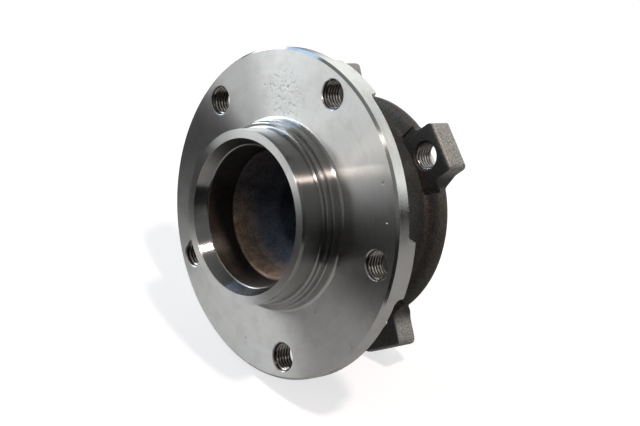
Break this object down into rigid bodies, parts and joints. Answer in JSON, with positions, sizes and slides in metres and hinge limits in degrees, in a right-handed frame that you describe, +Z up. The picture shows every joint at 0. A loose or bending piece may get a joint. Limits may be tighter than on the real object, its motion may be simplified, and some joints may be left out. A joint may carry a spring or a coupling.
{
  "type": "wheel hub",
  "caption": "Wheel hub unit: drilled wheel flange with a centring pilot, turning on ball rows inside a forged outer ring with threaded mounting ears, sealed by lips and an end cap.",
  "frame": {"origin": "centre of the flange face that the wheel and brake disc sit on, on the spin axis", "axes": "spin axis along Y with the wheel side facing -Y and the knuckle side +Y; Z up, midway between the upper two ears; X to the right seen from the wheel side"},
  "size_m": [0.139, 0.0833, 0.139],
  "materials": {
    "machined_steel": "fine turned, satin",
    "forged_steel": "forged scale, tinted brown",
    "ground_steel": "ground",
    "ball_steel": "polished",
    "sheet_steel": "pressed sheet",
    "cap_steel": "deep drawn, satin",
    "seal_rubber": "moulded, matte",
    "encoder_rubber": "moulded, matte",
    "cage_polymer": "moulded"
  },
  "bodies": {
    "bearing_housing": {"outer_ring": "forged_steel", "outboard_seal_case": "sheet_steel", "outboard_seal_lips": "seal_rubber", "end_cap": "cap_steel", "end_cap_bead": "seal_rubber"},
    "hub": {"hub_flange": "machined_steel", "inner_ring": "ground_steel", "outboard_slinger": "sheet_steel", "encoder_carrier": "sheet_steel", "encoder_ring": "encoder_rubber"},
    "outboard_ball_set": {"outboard_cage": "cage_polymer", "outboard_ball_1": "ball_steel", "outboard_ball_2": "ball_steel", "outboard_ball_3": "ball_steel", "outboard_ball_4": "ball_steel", "outboard_ball_5": "ball_steel", "outboard_ball_6": "ball_steel", "outboard_ball_7": "ball_steel", "outboard_ball_8": "ball_steel", "outboard_ball_9": "ball_steel", "outboard_ball_10": "ball_steel", "outboard_ball_11": "ball_steel", "outboard_ball_12": "ball_steel", "outboard_ball_13": "ball_steel", "outboard_ball_14": "ball_steel"},
    "inboard_ball_set": {"inboard_cage": "cage_polymer", "inboard_ball_1": "ball_steel", "inboard_ball_2": "ball_steel", "inboard_ball_3": "ball_steel", "inboard_ball_4": "ball_steel", "inboard_ball_5": "ball_steel", "inboard_ball_6": "ball_steel", "inboard_ball_7": "ball_steel", "inboard_ball_8": "ball_steel", "inboard_ball_9": "ball_steel", "inboard_ball_10": "ball_steel", "inboard_ball_11": "ball_steel", "inboard_ball_12": "ball_steel", "inboard_ball_13": "ball_steel", "inboard_ball_14": "ball_steel"}
  },
  "joints": [
    {"name": "hub_spin", "type": "hinge", "parent": "bearing_housing", "child": "hub", "pos_m": [0, 0, 0], "axis": [0, -1, 0], "continuous": true},
    {"name": "outboard_cage_turn", "type": "hinge", "parent": "bearing_housing", "child": "outboard_ball_set", "pos_m": [0, 0.0275, 0], "axis": [0, -1, 0], "continuous": true},
    {"name": "inboard_cage_turn", "type": "hinge", "parent": "bearing_housing", "child": "inboard_ball_set", "pos_m": [0, 0.0505, 0], "axis": [0, -1, 0], "continuous": true}
  ],
  "couplings": [
    {"joint": "outboard_cage_turn", "follows": "hub_spin", "ratio": 0.4265},
    {"joint": "inboard_cage_turn", "follows": "hub_spin", "ratio": 0.4265}
  ]
}
